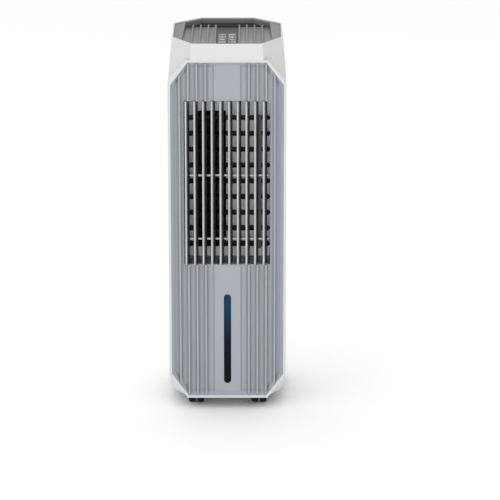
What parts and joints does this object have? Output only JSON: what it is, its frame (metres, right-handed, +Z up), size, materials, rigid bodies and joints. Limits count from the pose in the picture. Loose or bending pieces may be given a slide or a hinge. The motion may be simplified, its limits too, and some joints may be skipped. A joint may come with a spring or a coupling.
{
  "type": "tower evaporative cooler",
  "caption": "Slim eight-sided tower evaporative cooler with swinging outlet vanes, tilting louvers, slide-out water tank, key deck and twin-wheel casters.",
  "frame": {"origin": "on the floor, under the middle of the cabinet's bounding box", "axes": "+Z up, -Y towards the air outlet and level window, +X to the right seen from the front"},
  "size_m": [0.268, 0.3, 0.861],
  "materials": {
    "shell_white": "satin",
    "panel_grey": "satin",
    "tray_grey": "fine texture",
    "deck_dark": "satin",
    "key_dark": "fine texture",
    "vane_light": "satin",
    "duct_light": "satin",
    "louver_black": "satin",
    "link_grey": "satin",
    "window_blue": "clear tint",
    "caster_black": "satin",
    "wheel_black": "matte",
    "inner_plastic": "moulded",
    "tank_clear": "translucent",
    "steel": "zinc plated",
    "circuit": "lacquered",
    "pad_paper": "pleated cellulose",
    "filter_mesh": "woven mesh",
    "float_red": "matte",
    "plug_rubber": "matte"
  },
  "bodies": {
    "cabinet": {"housing_shell": "shell_white", "base_chassis": "inner_plastic", "front_panel": "panel_grey", "level_window": "window_blue", "top_cover": "tray_grey", "control_deck": "deck_dark", "control_board": "circuit", "outlet_duct": "duct_light", "swing_motor": "steel", "blower_housing": "louver_black", "blower_motor": "steel", "cooling_pad": "pad_paper", "water_distributor": "inner_plastic", "riser_pipe": "inner_plastic", "cord_gland": "caster_black", "cabinet_screws": "steel"},
    "blower_wheel": {"blower_wheel": "louver_black"},
    "rear_grille": {"rear_grille": "shell_white", "dust_filter": "filter_mesh"},
    "water_tank": {"water_tank": "tank_clear", "pump": "louver_black"},
    "drain_plug": {"drain_plug": "plug_rubber"},
    "float": {"float": "float_red"},
    "vane_links": {"vane_links": "duct_light"},
    "louver_link": {"louver_link": "link_grey"},
    "key_1": {"key_1": "key_dark"},
    "key_2": {"key_2": "key_dark"},
    "key_3": {"key_3": "key_dark"},
    "key_4": {"key_4": "key_dark"},
    "key_5": {"key_5": "key_dark"},
    "key_6": {"key_6": "key_dark"},
    "key_7": {"key_7": "key_dark"},
    "key_8": {"key_8": "key_dark"},
    "vane_1": {"vane_1": "vane_light"},
    "vane_2": {"vane_2": "vane_light"},
    "vane_3": {"vane_3": "vane_light"},
    "vane_4": {"vane_4": "vane_light"},
    "vane_5": {"vane_5": "vane_light"},
    "vane_6": {"vane_6": "vane_light"},
    "vane_7": {"vane_7": "vane_light"},
    "vane_8": {"vane_8": "vane_light"},
    "vane_9": {"vane_9": "vane_light"},
    "vane_10": {"vane_10": "vane_light"},
    "louver_1": {"louver_1": "louver_black"},
    "louver_2": {"louver_2": "louver_black"},
    "louver_3": {"louver_3": "louver_black"},
    "louver_4": {"louver_4": "louver_black"},
    "louver_5": {"louver_5": "louver_black"},
    "louver_6": {"louver_6": "louver_black"},
    "louver_7": {"louver_7": "louver_black"},
    "louver_8": {"louver_8": "louver_black"},
    "louver_9": {"louver_9": "louver_black"},
    "caster_fork_1": {"caster_fork_1": "caster_black"},
    "caster_fork_2": {"caster_fork_2": "caster_black"},
    "caster_fork_3": {"caster_fork_3": "caster_black"},
    "caster_fork_4": {"caster_fork_4": "caster_black"},
    "caster_wheels_1": {"caster_wheels_1": "wheel_black"},
    "caster_wheels_2": {"caster_wheels_2": "wheel_black"},
    "caster_wheels_3": {"caster_wheels_3": "wheel_black"},
    "caster_wheels_4": {"caster_wheels_4": "wheel_black"}
  },
  "joints": [
    {"name": "vane_1_swing", "type": "hinge", "parent": "cabinet", "child": "vane_1", "pos_m": [-0.0882, -0.124, 0.538], "axis": [0, 0, 1], "range_deg": [-2.5, 30.5]},
    {"name": "vane_2_swing", "type": "hinge", "parent": "cabinet", "child": "vane_2", "pos_m": [-0.0686, -0.124, 0.538], "axis": [0, 0, 1], "range_deg": [-3, 31]},
    {"name": "vane_3_swing", "type": "hinge", "parent": "cabinet", "child": "vane_3", "pos_m": [-0.049, -0.124, 0.538], "axis": [0, 0, 1], "range_deg": [-3, 31]},
    {"name": "vane_4_swing", "type": "hinge", "parent": "cabinet", "child": "vane_4", "pos_m": [-0.0294, -0.124, 0.538], "axis": [0, 0, 1], "range_deg": [-3, 31]},
    {"name": "vane_5_swing", "type": "hinge", "parent": "cabinet", "child": "vane_5", "pos_m": [-0.0098, -0.124, 0.538], "axis": [0, 0, 1], "range_deg": [-3, 31]},
    {"name": "vane_6_swing", "type": "hinge", "parent": "cabinet", "child": "vane_6", "pos_m": [0.0098, -0.124, 0.538], "axis": [0, 0, 1], "range_deg": [-3, 31]},
    {"name": "vane_7_swing", "type": "hinge", "parent": "cabinet", "child": "vane_7", "pos_m": [0.0294, -0.124, 0.538], "axis": [0, 0, 1], "range_deg": [-3, 31]},
    {"name": "vane_8_swing", "type": "hinge", "parent": "cabinet", "child": "vane_8", "pos_m": [0.049, -0.124, 0.538], "axis": [0, 0, 1], "range_deg": [-3, 31]},
    {"name": "vane_9_swing", "type": "hinge", "parent": "cabinet", "child": "vane_9", "pos_m": [0.0686, -0.124, 0.538], "axis": [0, 0, 1], "range_deg": [-3, 31]},
    {"name": "vane_10_swing", "type": "hinge", "parent": "cabinet", "child": "vane_10", "pos_m": [0.0882, -0.124, 0.538], "axis": [0, 0, 1], "range_deg": [-3, 31]},
    {"name": "vane_links_shift", "type": "hinge", "parent": "vane_1", "child": "vane_links", "pos_m": [-0.08626, -0.11624, 0.538], "axis": [0, 0, 1], "range_deg": [-31, 3]},
    {"name": "louver_1_tilt", "type": "hinge", "parent": "cabinet", "child": "louver_1", "pos_m": [0, -0.095, 0.382], "axis": [1, 0, 0], "range_deg": [-30, 30]},
    {"name": "louver_2_tilt", "type": "hinge", "parent": "cabinet", "child": "louver_2", "pos_m": [0, -0.095, 0.4192], "axis": [1, 0, 0], "range_deg": [-30.5, 30.5]},
    {"name": "louver_3_tilt", "type": "hinge", "parent": "cabinet", "child": "louver_3", "pos_m": [0, -0.095, 0.4564], "axis": [1, 0, 0], "range_deg": [-30.5, 30.5]},
    {"name": "louver_4_tilt", "type": "hinge", "parent": "cabinet", "child": "louver_4", "pos_m": [0, -0.095, 0.4936], "axis": [1, 0, 0], "range_deg": [-30.5, 30.5]},
    {"name": "louver_5_tilt", "type": "hinge", "parent": "cabinet", "child": "louver_5", "pos_m": [0, -0.095, 0.5308], "axis": [1, 0, 0], "range_deg": [-30.5, 30.5]},
    {"name": "louver_6_tilt", "type": "hinge", "parent": "cabinet", "child": "louver_6", "pos_m": [0, -0.095, 0.568], "axis": [1, 0, 0], "range_deg": [-30.5, 30.5]},
    {"name": "louver_7_tilt", "type": "hinge", "parent": "cabinet", "child": "louver_7", "pos_m": [0, -0.095, 0.6052], "axis": [1, 0, 0], "range_deg": [-30.5, 30.5]},
    {"name": "louver_8_tilt", "type": "hinge", "parent": "cabinet", "child": "louver_8", "pos_m": [0, -0.095, 0.6424], "axis": [1, 0, 0], "range_deg": [-30.5, 30.5]},
    {"name": "louver_9_tilt", "type": "hinge", "parent": "cabinet", "child": "louver_9", "pos_m": [0, -0.095, 0.6796], "axis": [1, 0, 0], "range_deg": [-30.5, 30.5]},
    {"name": "louver_link_lift", "type": "hinge", "parent": "louver_1", "child": "louver_link", "pos_m": [0.0725, -0.107, 0.382], "axis": [1, 0, 0], "range_deg": [-30.5, 30.5]},
    {"name": "blower_spin", "type": "hinge", "parent": "cabinet", "child": "blower_wheel", "pos_m": [0.022, -0.01, 0.529], "axis": [0, 0, 1], "continuous": true},
    {"name": "key_1_press", "type": "slide", "parent": "cabinet", "child": "key_1", "axis": [0, -0.0538, -0.9985], "range_m": [0, 0.0008], "stiffness_N_per_m": 400, "springref_m": -0.0008},
    {"name": "key_2_press", "type": "slide", "parent": "cabinet", "child": "key_2", "axis": [0, -0.0538, -0.9985], "range_m": [0, 0.0008], "stiffness_N_per_m": 400, "springref_m": -0.0008},
    {"name": "key_3_press", "type": "slide", "parent": "cabinet", "child": "key_3", "axis": [0, -0.0538, -0.9985], "range_m": [0, 0.0008], "stiffness_N_per_m": 400, "springref_m": -0.0008},
    {"name": "key_4_press", "type": "slide", "parent": "cabinet", "child": "key_4", "axis": [0, -0.0538, -0.9985], "range_m": [0, 0.0008], "stiffness_N_per_m": 400, "springref_m": -0.0008},
    {"name": "key_5_press", "type": "slide", "parent": "cabinet", "child": "key_5", "axis": [0, -0.0538, -0.9985], "range_m": [0, 0.0008], "stiffness_N_per_m": 400, "springref_m": -0.0008},
    {"name": "key_6_press", "type": "slide", "parent": "cabinet", "child": "key_6", "axis": [0, -0.0538, -0.9985], "range_m": [0, 0.0008], "stiffness_N_per_m": 400, "springref_m": -0.0008},
    {"name": "key_7_press", "type": "slide", "parent": "cabinet", "child": "key_7", "axis": [0, -0.0538, -0.9985], "range_m": [0, 0.0008], "stiffness_N_per_m": 400, "springref_m": -0.0008},
    {"name": "key_8_press", "type": "slide", "parent": "cabinet", "child": "key_8", "axis": [0, -0.0538, -0.9985], "range_m": [0, 0.0008], "stiffness_N_per_m": 400, "springref_m": -0.0008},
    {"name": "tank_slide", "type": "slide", "parent": "cabinet", "child": "water_tank", "axis": [0, 1, 0], "range_m": [0, 0.27]},
    {"name": "float_rise", "type": "slide", "parent": "water_tank", "child": "float", "axis": [0, 0, 1], "range_m": [0, 0.185]},
    {"name": "drain_plug_pull", "type": "slide", "parent": "water_tank", "child": "drain_plug", "axis": [0, 1, 0], "range_m": [0, 0.03]},
    {"name": "rear_grille_pull", "type": "slide", "parent": "cabinet", "child": "rear_grille", "axis": [0, 1, 0], "range_m": [0, 0.06]},
    {"name": "caster_1_swivel", "type": "hinge", "parent": "cabinet", "child": "caster_fork_1", "pos_m": [-0.073, -0.094, 0.05], "axis": [0, 0, 1], "continuous": true},
    {"name": "caster_1_roll", "type": "hinge", "parent": "caster_fork_1", "child": "caster_wheels_1", "pos_m": [-0.073, -0.1, 0.02], "axis": [1, 0, 0], "continuous": true},
    {"name": "caster_2_swivel", "type": "hinge", "parent": "cabinet", "child": "caster_fork_2", "pos_m": [0.073, -0.094, 0.05], "axis": [0, 0, 1], "continuous": true},
    {"name": "caster_2_roll", "type": "hinge", "parent": "caster_fork_2", "child": "caster_wheels_2", "pos_m": [0.073, -0.1, 0.02], "axis": [1, 0, 0], "continuous": true},
    {"name": "caster_3_swivel", "type": "hinge", "parent": "cabinet", "child": "caster_fork_3", "pos_m": [-0.073, 0.086, 0.05], "axis": [0, 0, 1], "continuous": true},
    {"name": "caster_3_roll", "type": "hinge", "parent": "caster_fork_3", "child": "caster_wheels_3", "pos_m": [-0.073, 0.08, 0.02], "axis": [1, 0, 0], "continuous": true},
    {"name": "caster_4_swivel", "type": "hinge", "parent": "cabinet", "child": "caster_fork_4", "pos_m": [0.073, 0.086, 0.05], "axis": [0, 0, 1], "continuous": true},
    {"name": "caster_4_roll", "type": "hinge", "parent": "caster_fork_4", "child": "caster_wheels_4", "pos_m": [0.073, 0.08, 0.02], "axis": [1, 0, 0], "continuous": true}
  ],
  "couplings": [
    {"joint": "vane_2_swing", "follows": "vane_1_swing", "ratio": 1},
    {"joint": "vane_3_swing", "follows": "vane_1_swing", "ratio": 1},
    {"joint": "vane_4_swing", "follows": "vane_1_swing", "ratio": 1},
    {"joint": "vane_5_swing", "follows": "vane_1_swing", "ratio": 1},
    {"joint": "vane_6_swing", "follows": "vane_1_swing", "ratio": 1},
    {"joint": "vane_7_swing", "follows": "vane_1_swing", "ratio": 1},
    {"joint": "vane_8_swing", "follows": "vane_1_swing", "ratio": 1},
    {"joint": "vane_9_swing", "follows": "vane_1_swing", "ratio": 1},
    {"joint": "vane_10_swing", "follows": "vane_1_swing", "ratio": 1},
    {"joint": "vane_links_shift", "follows": "vane_1_swing", "ratio": -1},
    {"joint": "louver_2_tilt", "follows": "louver_1_tilt", "ratio": 1},
    {"joint": "louver_3_tilt", "follows": "louver_1_tilt", "ratio": 1},
    {"joint": "louver_4_tilt", "follows": "louver_1_tilt", "ratio": 1},
    {"joint": "louver_5_tilt", "follows": "louver_1_tilt", "ratio": 1},
    {"joint": "louver_6_tilt", "follows": "louver_1_tilt", "ratio": 1},
    {"joint": "louver_7_tilt", "follows": "louver_1_tilt", "ratio": 1},
    {"joint": "louver_8_tilt", "follows": "louver_1_tilt", "ratio": 1},
    {"joint": "louver_9_tilt", "follows": "louver_1_tilt", "ratio": 1},
    {"joint": "louver_link_lift", "follows": "louver_1_tilt", "ratio": -1}
  ]
}
